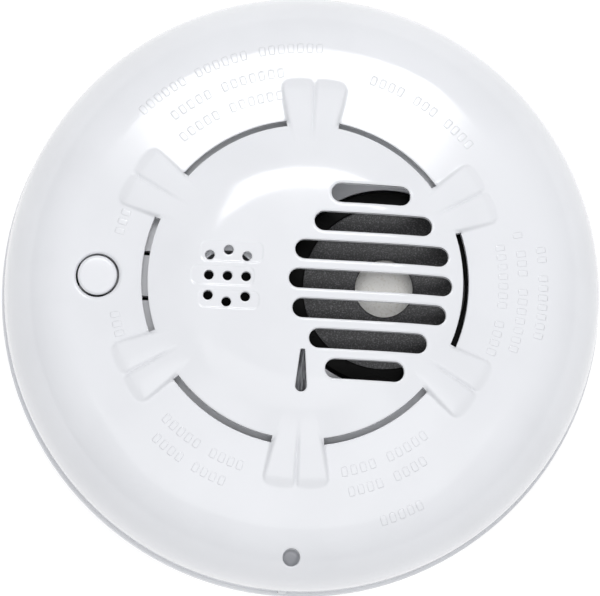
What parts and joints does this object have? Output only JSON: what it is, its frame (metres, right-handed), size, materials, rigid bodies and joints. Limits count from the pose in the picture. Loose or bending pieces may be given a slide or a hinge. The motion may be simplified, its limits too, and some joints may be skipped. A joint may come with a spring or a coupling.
{
  "type": "carbon monoxide detector",
  "caption": "Round wall or ceiling carbon monoxide alarm with domed vented cover, slotted horn grille, test button, hinged rear battery bay and twist-off mounting plate.",
  "frame": {"origin": "centre of the mounting plate's back face", "axes": "+Z out of the front, +X along the grille slots, +Y up when hung on a wall"},
  "size_m": [0.15, 0.15, 0.045],
  "materials": {
    "cover_plastic": "satin gloss moulded white",
    "plate_plastic": "satin moulded white",
    "housing_plastic": "fine matt moulded white",
    "frame_plastic": "plain moulded white",
    "button_plastic": "satin gloss moulded white",
    "light_pipe": "lightly smoked clear moulding",
    "horn_black": "glossy black moulding",
    "horn_grain": "grainy dark grey",
    "sensor_black": "matt black moulding",
    "black_moulding": "epoxy black",
    "switch_plunger": "natural nylon",
    "led_green": "tinted clear",
    "led_red": "tinted clear",
    "led_amber": "tinted clear",
    "gasket_rubber": "matt black",
    "piezo_brass": "rolled brass",
    "piezo_ceramic": "cream fired ceramic",
    "contact_metal": "tinned",
    "screw_steel": "zinc plated",
    "sensor_can_steel": "drawn stainless",
    "filter_membrane": "charcoal cloth",
    "board_green": "solder resist",
    "capacitor_sleeve": "shrunk sleeve",
    "chip_ceramic": "glazed ceramic",
    "ferrite": "sintered grey-black",
    "copper_wire": "enamelled copper",
    "battery_jacket": "plain metal jacket",
    "label_film": "blank silver-grey film"
  },
  "bodies": {
    "mounting_plate": {"mounting_plate": "plate_plastic"},
    "alarm_head": {"front_cover": "cover_plastic", "back_housing": "housing_plastic", "inner_frame": "frame_plastic", "test_switch_body": "black_moulding", "indicator_light_pipe": "light_pipe", "power_led": "led_green", "alarm_led": "led_red", "fault_led": "led_amber", "horn_housing": "horn_black", "horn_front_plate": "horn_grain", "horn_gasket": "gasket_rubber", "piezo_plate": "piezo_brass", "piezo_ceramic": "piezo_ceramic", "horn_contacts": "contact_metal", "horn_screws": "screw_steel", "co_sensor_can": "sensor_can_steel", "co_sensor_cap": "sensor_black", "co_sensor_filter": "filter_membrane", "co_sensor_pins": "contact_metal", "circuit_board": "board_green", "microcontroller": "black_moulding", "horn_driver_chip": "black_moulding", "sensor_amplifier_chip": "black_moulding", "electrolytic_capacitors": "capacitor_sleeve", "chip_resistors": "chip_ceramic", "horn_boost_coil_core": "ferrite", "horn_boost_coil_winding": "copper_wire", "battery_case": "battery_jacket", "battery_terminals": "contact_metal", "battery_snap": "black_moulding", "battery_contacts": "contact_metal", "assembly_screws": "screw_steel", "rear_label": "label_film"},
    "test_button": {"test_button": "button_plastic", "button_lever": "frame_plastic"},
    "switch_plunger": {"test_switch_plunger": "switch_plunger"},
    "battery_door": {"battery_door": "housing_plastic"}
  },
  "joints": [
    {"name": "head_twist", "type": "hinge", "parent": "mounting_plate", "child": "alarm_head", "pos_m": [0, 0, 0], "axis": [0, 0, 1], "range_deg": [0, 20]},
    {"name": "test_button_press", "type": "hinge", "parent": "alarm_head", "child": "test_button", "pos_m": [-0.027, 0, 0.0315], "axis": [0, -1, 0], "range_deg": [0, 2.1], "stiffness_Nm_per_rad": 0.08, "springref_deg": -1.15},
    {"name": "switch_plunger_press", "type": "slide", "parent": "alarm_head", "child": "switch_plunger", "axis": [0, 0, -1], "range_m": [0, 0.0009]},
    {"name": "battery_door_swing", "type": "hinge", "parent": "alarm_head", "child": "battery_door", "pos_m": [0, 0.0426, 0.0046], "axis": [1, 0, 0], "range_deg": [0, 100]}
  ],
  "couplings": [
    {"joint": "switch_plunger_press", "follows": "test_button_press", "m_per_rad": 0.0235}
  ]
}
